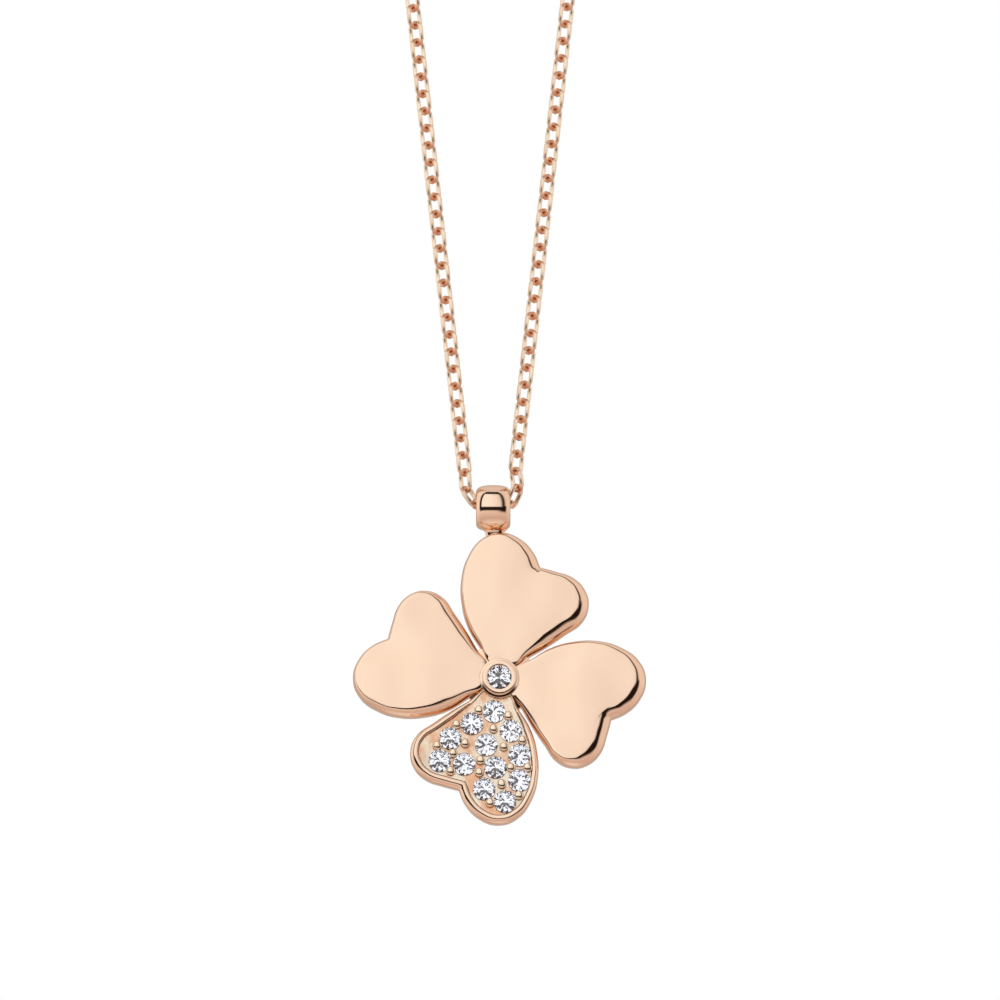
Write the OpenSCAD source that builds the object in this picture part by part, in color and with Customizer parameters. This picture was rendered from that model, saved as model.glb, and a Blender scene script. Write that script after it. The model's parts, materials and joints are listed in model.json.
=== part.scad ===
// Four leaf clover pendant on its fine chain, in millimetres, hanging as when worn.
// +X is right in the front view, +Z is up and the front faces -Y.
// The origin is where the loop rests on the nape: the underside of the clasp ring.

/* [Chain loop] */
// Drop from the top of the chain loop to the chain inside the bail
loop_drop = 210; // [150:5:300]
// Radius of the round top of the loop
loop_top_radius = 22; // [15:1:40]
// Width of the chain as seen
chain_width = 0.84; // [0.6:0.02:1.2]
// Tightest bend of the chain where it leaves the bail
chain_bend = 0.6; // [0.5:0.05:1.2]
// Half the spread that the straight arms of the chain aim at beside the bail
arm_aim = 1.5; // [1:0.1:3]
// Height over the bail at which the straight arms begin
arm_start = 3; // [2:0.5:8]

/* [Bail] */
// Radius of the barrel bail at its middle
bail_radius = 1.55; // [1.3:0.05:2.5]
// Radius of the bail at its two mouths
bail_mouth_radius = 1.06; // [1:0.02:2.2]
// Fullness of the barrel's outline: 2 is an ellipse, more is squarer
barrel_fullness = 2.5; // [2:0.1:4]
// Radius of the bore that the chain passes through
bore_radius = 0.86; // [0.7:0.02:1]
// Length of the bail along the chain
bail_length = 2.3; // [1.4:0.1:4]
// Sideways place of the bail on the loop
bail_x = 0.2; // [-0.5:0.02:0.5]
// Radius of the solder neck between bail and leaf
neck_radius = 0.65; // [0.3:0.05:0.9]
// Share of its width that the neck is deep from front to back
neck_flat = 0.4; // [0.3:0.05:1]
// Sideways place of the neck beside the middle of the bail
neck_x = 0.1; // [0:0.05:0.4]
// Gap between the bail and the tip of the top leaf, bridged by the neck
bail_gap = 0.1; // [0:0.05:0.4]
// Clear space between the chain and the bail
chain_clear = 0.13; // [0.1:0.01:0.3]

/* [Leaves] */
// Reach of a leaf from the bezel collar to the tip of its big lobe
leaf_span = 8.45; // [6:0.05:14]
// Thickness of a leaf at its edge
leaf_thickness = 1.4; // [1.2:0.1:3]
// Width of the rolled front edge of a polished leaf where it is widest
edge_roll = 0.82; // [0.3:0.02:1.2]
// Share of that width where the edge is narrowest
narrow_share = 0.2; // [0.1:0.05:1]
// Direction in the front view that the widest edge faces
wide_side = -30; // [-180:5:180]
// Width of the rounding round the back of a leaf
back_round = 0.2; // [0.1:0.02:0.4]
// Rise of the polished face at its middle
face_dome = 0.05; // [0.02:0.01:0.4]
// Depth of the stone bed under the border of the stone set leaf
bed_depth = 0.35; // [0.2:0.05:0.6]
// Width of the border from the rim of the set leaf to its stone bed
border_width = 0.47; // [0.3:0.01:0.6]
// Length of the top leaf as a share of the other leaves
top_leaf_reach = 1.01; // [0.95:0.01:1.1]
// Sideways place of the bezel beside the bail
bezel_x = 0.42; // [-1:0.02:1]
// Shift of the clover to the back that hangs it straight
clover_back = -0.01; // [-0.3:0.01:0.3]

/* [Bezel] */
// Diameter of the middle stone
centre_stone_d = 1.72; // [1.2:0.02:3]
// Wall of the bezel outside the middle stone
bezel_wall = 0.2; // [0.15:0.01:0.5]
// Step from the bezel wall out to its collar
collar_step = 0.2; // [0.1:0.02:0.5]
// Step from the collar out to the hub that joins the leaves
hub_step = 1.05; // [0.6:0.05:2]
// Height of the bezel rim over the leaf edge
rim_height = 0.56; // [0.3:0.02:1]
// Height of the collar over the leaf edge
collar_height = 0.14; // [0.05:0.01:0.3]
// How far the rim laps over the edge of the middle stone
rim_lap = 0.06; // [0.02:0.01:0.12]

/* [Stones] */
// Gap between neighbouring stones of the stone set leaf
stone_gap = 0.12; // [0.1:0.01:0.3]
// How deep the edge of a set stone lies under the border
stone_sink = 0.12; // [0.05:0.01:0.2]
// Gap between a stone and the metal that it sits in
seat_clear = 0.07; // [0.05:0.01:0.15]
// Radius of the grains that hold the stones
grain_radius = 0.19; // [0.1:0.01:0.24]
// How far the head of a grain spreads past its foot
grain_spread = 0.06; // [0:0.01:0.06]
// Height of the grains over the border
grain_rise = 0.1; // [0.05:0.01:0.2]
// Radius of the open hole behind each set stone
seat_hole = 0.26; // [0.15:0.01:0.4]

/* [Clasp] */
// Outer radius of the clasp ring
clasp_radius = 2.5; // [2:0.1:4]
// Thickness of the clasp ring
clasp_wire = 1; // [0.7:0.05:1.4]
// Middle radius of the jump rings
jump_radius = 1.25; // [1:0.05:2]
// Wire of the jump rings
jump_wire = 0.5; // [0.3:0.02:0.6]
// Middle radius of the soldered end eyes
eye_radius = 0.8; // [0.7:0.02:1.2]
// Wire of the soldered end eyes
eye_wire = 0.4; // [0.3:0.02:0.5]
// Clear space between linked rings
ring_clear = 0.12; // [0.1:0.01:0.3]
// How far soldered pieces run into each other
solder = 0.2; // [0.1:0.02:0.3]

/* [Hidden] */
stone_count = 12;
stone_names = [for (i = [1 : stone_count]) str("pave_stone_", i < 10 ? "0" : "", i)];
$fn = 48;

gold = [0.93, 0.66, 0.52];
gem = [0.9, 0.93, 0.97];

// Loop, bail and clover places
chain_radius = chain_width / 2;
loop_top = clasp_radius;
chain_z = loop_top - loop_drop;
arm_offset = bail_length / 2 + chain_radius + chain_clear;
bail_z = chain_z - (bore_radius - chain_radius - chain_clear);
// Shares of the sides of a brilliant, of its diameter
crown_share = 0.15;
pavilion_share = 0.43;
girdle_share = 0.025;
table_share = 0.56;

groove_radius = centre_stone_d / 2 + seat_clear;
rim_radius = groove_radius + bezel_wall;
collar_radius = rim_radius + collar_step;
hub_radius = collar_radius + hub_step;
root_radius = (groove_radius + collar_radius) / 2;
clover_x = bail_x + bezel_x;
clover_z = bail_z - bail_radius - bail_gap - (collar_radius + leaf_span) * top_leaf_reach;

// Front and back planes of the leaf edge
front_y = clover_back - leaf_thickness / 2;
back_y = clover_back + leaf_thickness / 2;

// Stone size that fills the rows of the stone set leaf
stone_pitch = leaf_span * 0.192;
stone_d = stone_pitch - stone_gap;

// Leaf outline from the notch round the big lobe, root and small lobe: [out from collar, across]
leaf_outline = [
    [0.725, -0.322], [0.838, -0.272], [0.948, -0.166], [1.0, -0.012], [0.946, 0.144], [0.8, 0.254],
    [0.622, 0.304], [0.433, 0.299], [0.254, 0.25], [0.089, 0.152],
];
leaf_outline_back = [
    [0.018, -0.237], [0.1, -0.378], [0.196, -0.521], [0.29, -0.65], [0.414, -0.704],
    [0.538, -0.68], [0.64, -0.586], [0.694, -0.438], [0.725, -0.322],
];
// Directions in which the root of a leaf meets the bezel
root_turns = [28, -10, -48];
// Turns of the leaves in the front view, from the right leaf anticlockwise
top_turn = 90;
polished_turns = [0, top_turn, 180];
set_leaf_turn = -90;
// Middle that the domed face rises to: [out from collar, across]
leaf_middle = [0.48, -0.142];

// Edge sections from back to front: [share of back round, share of edge roll, share of thickness]
edge_sections = [
    [1, 0, 0], [0.3, 0, 0.06], [0, 0, 0.2], [0, 0.015, 0.47], [0, 0.09, 0.62], [0, 0.28, 0.8],
    [0, 0.58, 0.94], [0, 1, 1],
];
// The same for the set leaf, up to the inner edge of its border: [.., share of border width, ..]
border_sections = [
    [1, 0, 0], [0.3, 0, 0.06], [0, 0, 0.2], [0, 0.04, 0.76], [0, 0.2, 0.94], [0, 0.45, 1], [0, 0.8, 1],
];
// Dome rings: [share of the outline, share of the rise]
dome_sections = [[0.84, 0.42], [0.6, 0.78], [0.3, 0.96]];

// Stones of the set leaf: [out from collar, across], shares of the leaf span
stone_places = [
    [0.105, -0.044], [0.202, -0.218], [0.259, 0.09], [0.319, -0.387], [0.371, -0.105], [0.452, 0.157],
    [0.496, -0.471], [0.524, -0.278], [0.549, -0.032], [0.653, 0.157], [0.721, -0.121], [0.821, 0.044],
];
// Grains between three stones, and grains beside two stones on the side that lies left of the pair
inner_grains = [
    [0, 2, 4], [1, 4, 7], [3, 6, 7], [2, 4, 5], [4, 7, 8], [5, 8, 9], [8, 9, 10], [9, 10, 11], [7, 8, 10],
];
border_grains = [[1, 0], [3, 1], [6, 3], [7, 6], [11, 10], [9, 11], [5, 9], [2, 5], [0, 2]];

// Rings along the chain tube on each side
bend_rings = 6;
arm_rings = 15;
top_rings = 12;
tube_sides = 8;

// Curve through a row of points, with as many steps to each span
curve_steps = 3;
function spline(a, b, c, d, t) = 0.5 * (2 * b + (c - a) * t + (2 * a - 5 * b + 4 * c - d) * t * t
    + (3 * b - a - 3 * c + d) * t * t * t);
function curve(p) = let (n = len(p)) [for (i = [0 : n - 2], k = [0 : curve_steps - 1])
    spline(i == 0 ? 2 * p[0] - p[1] : p[i - 1], p[i], p[i + 1],
        i == n - 2 ? 2 * p[n - 1] - p[n - 2] : p[i + 2], k / curve_steps)];

// A place on a leaf in millimetres from the bezel middle
function leaf_point(p) = [collar_radius + p[0] * leaf_span, p[1] * leaf_span];
root_points = [for (a = root_turns) root_radius * [cos(a), sin(a)]];
leaf_curve = curve(concat([for (p = leaf_outline) leaf_point(p)], root_points,
    [for (p = leaf_outline_back) leaf_point(p)]));

// Mitred inward step at a point of a closed outline that runs anticlockwise
function unit(v) = v / norm(v);
function left_of(v) = [-v[1], v[0]];
function inward(p, i) = let (n = len(p), a = left_of(unit(p[i] - p[(i + n - 1) % n])),
    b = left_of(unit(p[(i + 1) % n] - p[i]))) (a + b) / (1 + a * b);
// The roll fades out softly where a leaf runs into the bezel
function roll_share(p) = let (t = min(1, max(0, (norm(p) - root_radius) / (leaf_span * 0.24))))
    0.12 + 0.88 * t * t * (3 - 2 * t);
// Share of the roll's width by the inward step at an edge and the leaf's turn, widest at the wide side
function side_share(step, turn) = let (c = (1 + cos(atan2(-step[1], -step[0]) + turn - wide_side)) / 2)
    narrow_share + (1 - narrow_share) * pow(c, 1.3);
function inset(p, width) = [for (i = [0 : len(p) - 1]) p[i] + inward(p, i) * width * roll_share(p[i])];
function inset_roll(p, share, turn) = [for (i = [0 : len(p) - 1]) let (step = inward(p, i))
    p[i] + step * share * edge_roll * side_share(step, turn) * roll_share(p[i])];
function toward(p, middle, share) = [for (q = p) middle + (q - middle) * share];
function at_depth(p, y) = [for (q = p) [q[0], y, q[1]]];

// Closed skin over rings from back to front, with a flat back and a middle point in front
module ring_skin(rings, front_point) {
    n = len(rings[0]);
    rows = len(rings);
    points = concat([for (ring = rings, p = ring) p], [front_point]);
    sides = [for (r = [0 : rows - 2], i = [0 : n - 1]) let (j = (i + 1) % n)
        each [[r * n + i, (r + 1) * n + i, (r + 1) * n + j], [r * n + i, (r + 1) * n + j, r * n + j]]];
    front = [for (i = [0 : n - 1]) [(rows - 1) * n + i, rows * n, (rows - 1) * n + (i + 1) % n]];
    polyhedron(points, concat([[for (i = [0 : n - 1]) i]], sides, front), convexity = 8);
}

// Polished heart with a rolled edge and a gently domed face, to be turned by that much in the front view
module polished_leaf(turn) {
    middle = leaf_point(leaf_middle);
    edge = [for (s = edge_sections) at_depth(s[0] > 0 ? inset(leaf_curve, s[0] * back_round)
        : inset_roll(leaf_curve, s[1], turn), back_y - s[2] * leaf_thickness)];
    face = inset_roll(leaf_curve, 1, turn);
    dome = [for (s = dome_sections) at_depth(toward(face, middle, s[0]), front_y - s[1] * face_dome)];
    ring_skin(concat(edge, dome), [middle[0], front_y - face_dome, middle[1]]);
}

// Heart with a raised border and a sunk bed for stones
module set_leaf_body() {
    middle = leaf_point(leaf_middle);
    floor_y = front_y + bed_depth;
    edge = [for (s = border_sections) at_depth(inset(leaf_curve, s[0] * back_round + s[1] * border_width),
        back_y - s[2] * leaf_thickness)];
    bed = at_depth(inset(leaf_curve, border_width), floor_y);
    ring_skin(concat(edge, [bed]), [middle[0], floor_y, middle[1]]);
}

// Turns a revolved shape so that its axis points to the front
module facing_front() {
    rotate([90, 0, 0]) children();
}

// Cone and hole under one stone, parallel to its underside
module stone_seat() {
    pavilion = stone_d * pavilion_share;
    floor_drop = bed_depth - stone_sink;
    slope = stone_d / 2 / pavilion;
    top_radius = stone_d / 2 - floor_drop * slope + seat_clear * 1.6;
    cone_height = (top_radius - seat_hole) / slope;
    over = bed_depth * 0.57;
    translate([0, front_y + bed_depth + cone_height, 0]) facing_front()
        cylinder(r1 = seat_hole, r2 = top_radius + over * slope, h = cone_height + over);
    translate([0, back_y + 1, 0]) facing_front()
        cylinder(r = seat_hole, h = leaf_thickness - bed_depth - cone_height + 1 + over);
}

// Small post with a round head that spreads over the edges of the stones
module grain() {
    height = bed_depth + grain_rise;
    foot = bed_depth * 0.3;
    neck_height = height * 0.6;
    head = grain_radius + grain_spread;
    translate([0, front_y + bed_depth, 0]) facing_front() rotate_extrude()
        polygon([[0, -foot], [grain_radius * 0.9, -foot], [grain_radius, neck_height * 0.5],
            [grain_radius, neck_height], [head, neck_height + grain_spread], [head, height * 0.84],
            [head * 0.8, height * 0.95], [head * 0.45, height * 0.99], [0, height]]);
}

// Middle of three stones, and the place beside two stones
function between(a, b, c) = let (d = 2 * (a[0] * (b[1] - c[1]) + b[0] * (c[1] - a[1]) + c[0] * (a[1] - b[1])))
    [(a * a) * (b[1] - c[1]) + (b * b) * (c[1] - a[1]) + (c * c) * (a[1] - b[1]),
     (a * a) * (c[0] - b[0]) + (b * b) * (a[0] - c[0]) + (c * c) * (b[0] - a[0])] / d;
function beside(a, b) = let (reach = stone_d / 2 + grain_radius + seat_clear, half = norm(b - a) / 2)
    (a + b) / 2 + left_of(unit(b - a)) * sqrt(max(0.01, reach * reach - half * half));
function stone_at(i) = leaf_point(stone_places[i]);
function grain_places() = concat(
    [for (g = inner_grains) between(stone_at(g[0]), stone_at(g[1]), stone_at(g[2]))],
    [for (g = border_grains) beside(stone_at(g[0]), stone_at(g[1]))]);

// Seats of all the stones of the set leaf
module stone_seats() {
    for (i = [0 : stone_count - 1])
        translate([stone_at(i)[0], 0, stone_at(i)[1]]) stone_seat();
}

// Grains that stand on the bed between the stones
module grains() {
    for (p = grain_places())
        translate([p[0], 0, p[1]]) grain();
}

// Height of the middle stone's edge over the leaf edge, with its table a little under the rim
centre_girdle = rim_height - crown_share * centre_stone_d - rim_lap * 0.7;

// Hub, collar and rim that hold the middle stone, turned from one section
module bezel() {
    girdle = centre_girdle;
    corner = bezel_wall * 0.3;
    lip_under = girdle + (rim_lap + seat_clear) * crown_share / (1 - table_share) * 2 + seat_clear;
    inner = centre_stone_d / 2 - rim_lap;
    seat_top = girdle - seat_clear;
    seat_low = seat_top - (groove_radius - seat_hole) * pavilion_share * 2;
    back = -leaf_thickness * 0.91;
    hub_front = -leaf_thickness * 0.3;
    translate([0, front_y, 0]) facing_front() rotate_extrude()
        polygon([[seat_hole, back], [hub_radius, back], [hub_radius, hub_front],
            [collar_radius, hub_front + corner], [collar_radius, collar_height - corner],
            [collar_radius - corner, collar_height], [rim_radius, collar_height],
            [rim_radius, rim_height - corner], [rim_radius - corner, rim_height],
            [inner + corner / 2, rim_height], [inner, rim_height - corner / 2],
            [inner, lip_under + corner / 3], [groove_radius, lip_under], [groove_radius, seat_top],
            [seat_hole, seat_low]]);
}

// Barrel bail with its bore along the chain
module bail() {
    half = bail_length / 2;
    steps = 8;
    swell = bail_radius - bail_mouth_radius;
    dome = [for (i = [-steps : steps]) let (x = sin(i * 90 / steps))
        [bail_mouth_radius + swell * pow(1 - pow(abs(x), barrel_fullness), 1 / barrel_fullness), half * x]];
    flare = (bail_mouth_radius - bore_radius) * 0.35;
    rotate([0, 90, 0]) rotate_extrude()
        polygon(concat([[bore_radius + flare, -half]], dome,
            [[bore_radius + flare, half], [bore_radius, half * 0.7], [bore_radius, -half * 0.7]]));
}

// Flat solder neck from the bail wall down into the top leaf, narrower at its foot
module neck() {
    top = -bail_radius + solder;
    foot = top - solder - bail_gap - neck_radius;
    translate([neck_x, 0, foot]) scale([1, neck_flat, 1])
        cylinder(r1 = neck_radius * 0.6, r2 = neck_radius, h = top - foot);
}

module place_clover() {
    translate([clover_x, 0, clover_z]) children();
}

// Turns a leaf that points right anticlockwise in the front view
module turned(turn) {
    rotate([0, -turn, 0]) children();
}

// Soldered metal of the pendant: four hearts, bezel, neck and bail
module clover() {
    color(gold) {
        place_clover() {
            for (turn = polished_turns)
                turned(turn) scale([turn == top_turn ? top_leaf_reach : 1, 1, 1]) polished_leaf(turn);
            difference() {
                union() {
                    turned(set_leaf_turn) set_leaf_body();
                    bezel();
                }
                turned(set_leaf_turn) stone_seats();
            }
            turned(set_leaf_turn) grains();
        }
        translate([bail_x, 0, bail_z]) {
            bail();
            neck();
        }
    }
}

// Round brilliant with table, star, main and girdle facets; its girdle lies at y = 0
module brilliant(d) {
    r = d / 2;
    g = d * girdle_share / 2;
    crown = d * crown_share;
    pavilion = d * pavilion_share;
    table_r = r * table_share;
    star_r = r * 0.78;
    star_in = star_r * cos(22.5);
    star_h = g + (crown - g) * (r - star_in) / (r - table_r);
    low_r = r * 0.32;
    low_h = -g - (pavilion - g) * (r - low_r * cos(22.5)) / r;
    function ring(n, rad, shift, h) = [for (i = [0 : n - 1]) let (a = (i + shift) * 360 / n)
        [rad * cos(a), -h, -rad * sin(a)]];
    points = concat(ring(8, table_r, 0, crown), ring(8, star_r, 0.5, star_h), ring(16, r, 0, g),
        ring(16, r, 0, -g), ring(8, low_r, 0.5, low_h), [[0, pavilion, 0]]);
    faces = concat([[for (i = [0 : 7]) i]],
        [for (i = [0 : 7]) let (j = (i + 1) % 8, h = (i + 7) % 8) each [
            [i, 8 + i, j],
            [i, 8 + h, 16 + 2 * i, 8 + i],
            [8 + i, 16 + 2 * i, 17 + 2 * i],
            [8 + i, 17 + 2 * i, 16 + 2 * j],
            [40 + 8 + i, 33 + 2 * i, 32 + 2 * i],
            [40 + 8 + i, 32 + 2 * j, 33 + 2 * i],
            [56, 48 + i, 32 + 2 * i, 48 + h]]],
        [for (i = [0 : 15]) let (j = (i + 1) % 16) [16 + i, 32 + i, 32 + j, 16 + j]]);
    polyhedron(points, faces, convexity = 2);
}

module pave_stone(i) {
    p = stone_at(i);
    color(gem) place_clover() turned(set_leaf_turn)
        translate([p[0], front_y + stone_sink, p[1]]) rotate([0, i * 17, 0]) brilliant(stone_d);
}

module centre_stone() {
    color(gem) place_clover() translate([0, front_y - centre_girdle, 0]) brilliant(centre_stone_d);
}

// Places along the round top of the loop, by the distance from its middle
module on_loop(s) {
    turn = s / loop_top_radius * 180 / PI;
    translate([loop_top_radius * sin(turn), 0, loop_top - loop_top_radius * (1 - cos(turn))])
        rotate([0, turn, 0]) children();
}

module wire_ring(radius, wire) {
    rotate_extrude() translate([radius, 0]) circle(d = wire, $fn = 32);
}

// Distances along the loop of the eyes and rings on each side of the clasp
clasp_middle = clasp_radius - clasp_wire / 2;
clasp_eye_at = clasp_radius + eye_radius + eye_wire / 2 - solder;
left_jump_at = clasp_eye_at + eye_radius - eye_wire / 2 - ring_clear - jump_wire / 2 + jump_radius;
left_eye_at = left_jump_at + jump_radius - jump_wire / 2 - ring_clear - eye_wire / 2 + eye_radius;
right_jump_at = clasp_radius - clasp_wire - ring_clear - jump_wire / 2 + jump_radius;
right_eye_at = right_jump_at + jump_radius - jump_wire / 2 - ring_clear - eye_wire / 2 + eye_radius;
eye_to_chain = eye_radius + eye_wire / 2 - solder;

// Chain route on one side: rows of [x out, z up, direction of the outer side]
arm_turn = asin(loop_top_radius / norm([arm_aim, loop_drop - loop_top_radius]))
    - atan2(arm_aim, loop_drop - loop_top_radius);
function on_arc(middle, radius, q) = [middle[0] + radius * cos(q), middle[1] + radius * sin(q), q];
function side_route(h, end_at) = let (
        start = [arm_aim + arm_start * tan(arm_turn), chain_z + arm_start],
        a = atan2(start[0] - h, arm_start),
        bend = [h - chain_bend * tan((90 - a) / 2), chain_z + chain_bend],
        low = [start[0], start[1], -(a + arm_turn) / 2],
        top = [0, loop_top - loop_top_radius],
        high = on_arc(top, loop_top_radius, -arm_turn),
        last = 90 - end_at / loop_top_radius * 180 / PI)
    concat([for (i = [0 : bend_rings]) on_arc(bend, chain_bend, -90 + (90 - a) * i / bend_rings)],
        [for (i = [0 : arm_rings - 1]) let (p = low + (high - low) * i / arm_rings)
            [p[0], p[1], i == 0 ? low[2] : -arm_turn]],
        [for (i = [0 : top_rings]) on_arc(top, loop_top_radius, -arm_turn + (last + arm_turn) * i / top_rings)]);
right_route = side_route(arm_offset + bail_x, right_eye_at + eye_to_chain);
left_route = side_route(arm_offset - bail_x, left_eye_at + eye_to_chain);
chain_route = concat(
    [for (i = [len(left_route) - 1 : -1 : 0]) let (p = left_route[i]) [-p[0], p[1], 180 - p[2]]],
    right_route);

// Tube that stands for the links, with a soldered eye at each end
module chain() {
    n = tube_sides;
    count = len(chain_route);
    points = [for (p = chain_route, k = [0 : n - 1]) let (w = (k + 0.5) * 360 / n, out = chain_radius * cos(w))
        [p[0] + out * cos(p[2]), -chain_radius * sin(w), p[1] + out * sin(p[2])]];
    walls = [for (r = [0 : count - 2], k = [0 : n - 1]) let (m = (k + 1) % n)
        each [[r * n + k, r * n + m, (r + 1) * n + m], [r * n + k, (r + 1) * n + m, (r + 1) * n + k]]];
    ends = [[for (k = [n - 1 : -1 : 0]) k], [for (k = [0 : n - 1]) (count - 1) * n + k]];
    color(gold) {
        polyhedron(points, concat(walls, ends), convexity = 10);
        on_loop(-left_eye_at) facing_front() wire_ring(eye_radius, eye_wire);
        on_loop(right_eye_at) facing_front() wire_ring(eye_radius, eye_wire);
    }
}

// Spring ring clasp as one plain piece: ring, soldered eye and thumb nub
module clasp() {
    color(gold) {
        on_loop(0) facing_front() wire_ring(clasp_middle, clasp_wire);
        on_loop(-clasp_eye_at) facing_front() wire_ring(eye_radius, eye_wire);
        on_loop(0) rotate([0, 35, 0]) translate([0, 0, clasp_middle])
            cylinder(r = clasp_wire * 0.25, h = clasp_wire * 0.95);
    }
}

module jump_ring(s) {
    color(gold) on_loop(s) wire_ring(jump_radius, jump_wire);
}

clover();
centre_stone();
for (i = [0 : stone_count - 1])
    pave_stone(i);
chain();
clasp();
jump_ring(-left_jump_at);  // jump_ring_left
jump_ring(right_jump_at);  // jump_ring_right
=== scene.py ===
# %% [markdown]
# # A four leaf clover pendant on its fine chain
# The pendant is four small hearts of polished rose gold round a stone in a bezel. One heart carries a bed
# of stones, and a barrel bail hangs the clover on a cable chain. The CAD model gives every place and size.
# Blender adds what a plain solid lacks: soft rolled edges, cut stones, separate links and a real polish.

import json
import math
import random

import bmesh
import bpy
from mathutils import Matrix, Vector


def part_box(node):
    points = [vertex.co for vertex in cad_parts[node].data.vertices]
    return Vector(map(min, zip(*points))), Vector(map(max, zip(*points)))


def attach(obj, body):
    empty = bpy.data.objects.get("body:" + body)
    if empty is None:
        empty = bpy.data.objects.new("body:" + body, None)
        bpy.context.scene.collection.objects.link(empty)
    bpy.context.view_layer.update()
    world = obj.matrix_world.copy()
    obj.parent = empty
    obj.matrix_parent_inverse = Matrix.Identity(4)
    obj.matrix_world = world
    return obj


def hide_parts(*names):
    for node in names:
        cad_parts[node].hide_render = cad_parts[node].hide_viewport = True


MM = 0.001
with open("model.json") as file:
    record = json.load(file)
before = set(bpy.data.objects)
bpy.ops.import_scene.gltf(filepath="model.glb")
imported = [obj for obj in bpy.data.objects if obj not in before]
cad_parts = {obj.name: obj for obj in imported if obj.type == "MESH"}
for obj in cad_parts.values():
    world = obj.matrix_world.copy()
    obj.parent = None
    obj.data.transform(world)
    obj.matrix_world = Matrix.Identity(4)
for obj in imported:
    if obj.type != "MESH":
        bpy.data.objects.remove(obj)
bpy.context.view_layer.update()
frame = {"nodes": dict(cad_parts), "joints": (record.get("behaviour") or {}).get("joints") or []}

# %% [markdown]
# ## Where things are
# All shapes are first made in millimetres, because a jeweller thinks in them, and shrunk to metres at the
# end. The bezel's middle and the stones' places are read from the CAD stones, and the chain's pivot from
# the joint, so nothing has to be fitted by eye.

# %% Places and thicknesses
STONE_NODES = sorted(name for name in frame["nodes"] if name.startswith("pave_stone_"))


def middle_of(node):
    """Middle of a CAD node's box, in millimetres."""
    low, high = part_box(node)
    return (low + high) / 2 / MM


bezel_middle = middle_of("centre_stone")
BEZEL = Vector((bezel_middle.x, 0, bezel_middle.z))
PIVOT = Vector(frame["joints"][0]["pos_m"]) / MM
LEAF_THICKNESS = 1.4
FRONT = -0.01 - LEAF_THICKNESS / 2
BACK = FRONT + LEAF_THICKNESS
COLLAR_RADIUS = 1.33
LEAF_SPAN = 8.45
print("bezel at", [round(v, 2) for v in BEZEL], "pivot at", [round(v, 2) for v in PIVOT])

# %% [markdown]
# ## From a bmesh to a piece
# Every piece goes through one door. Doubles are merged, the faces are turned outwards, soft edges are
# shaded smooth while edges past a set angle stay crisp, and the piece is shrunk to metres. A face with many
# corners is a ground flat, such as the back of a heart, and stays one. Then the piece is hung on the CAD body
# it rides on, the CAD node it stands for is hidden, and it takes its finish.

# %% Finish a piece
FLAT_CORNERS = 12


def make_piece(bm, name, body, nodes, finishes, crisp=35, turned=False):
    bmesh.ops.remove_doubles(bm, verts=bm.verts, dist=1e-5)
    bmesh.ops.recalc_face_normals(bm, faces=bm.faces)
    for face in bm.faces:
        face.smooth = crisp > 0 and len(face.verts) < FLAT_CORNERS
    for edge in bm.edges:
        edge.smooth = len(edge.link_faces) != 2 or edge.calc_face_angle(0) < math.radians(crisp)
    bmesh.ops.transform(bm, matrix=Matrix.Scale(MM, 4), verts=bm.verts)
    mesh = bpy.data.meshes.new(name)
    bm.to_mesh(mesh)
    bm.free()
    piece = bpy.data.objects.new(name, mesh)
    bpy.context.scene.collection.objects.link(piece)
    for finish in finishes:
        mesh.materials.append(finish)
    if turned:
        piece.modifiers.new("flats stay flat", "WEIGHTED_NORMAL").keep_sharp = True
    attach(piece, body)
    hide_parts(*nodes)
    size = [round(v / MM, 2) for v in piece.dimensions]
    print(f"{name}: {len(mesh.polygons)} faces, {size} mm")
    return piece


# %% [markdown]
# ## Polished rose gold
# Rose gold is gold warmed with copper. Polished, it shows no colour of its own until light strikes it, so
# the material is a pure metal whose tint colours every reflection. No polish is perfect: fine hairlines
# from the buffing wheel, a faint cloudiness and slow waves left by the polisher's hand keep it from looking
# printed. A Mapping node draws the hairlines out one way; all three are procedural noise in object space.

# %% Rose gold finish
GOLD_TINT = (0.965, 0.735, 0.57, 1)
GOLD_DEEP = (0.945, 0.69, 0.515, 1)
# Noise scales are waves per metre, depths are in metres
HAIRLINE_SCALE = (9000, 9000, 700)
HAIRLINE_SLANT = math.radians(35)
HAIRLINE_DEPTH = 0.00001
WAVE_SCALE = 300
WAVE_DEPTH = 0.0002
WAVE_STRENGTH = 0.6


def new_finish(name):
    finish = bpy.data.materials.new(name)
    finish.use_nodes = True
    nodes, links = finish.node_tree.nodes, finish.node_tree.links
    return finish, nodes, links, nodes["Principled BSDF"]


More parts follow.
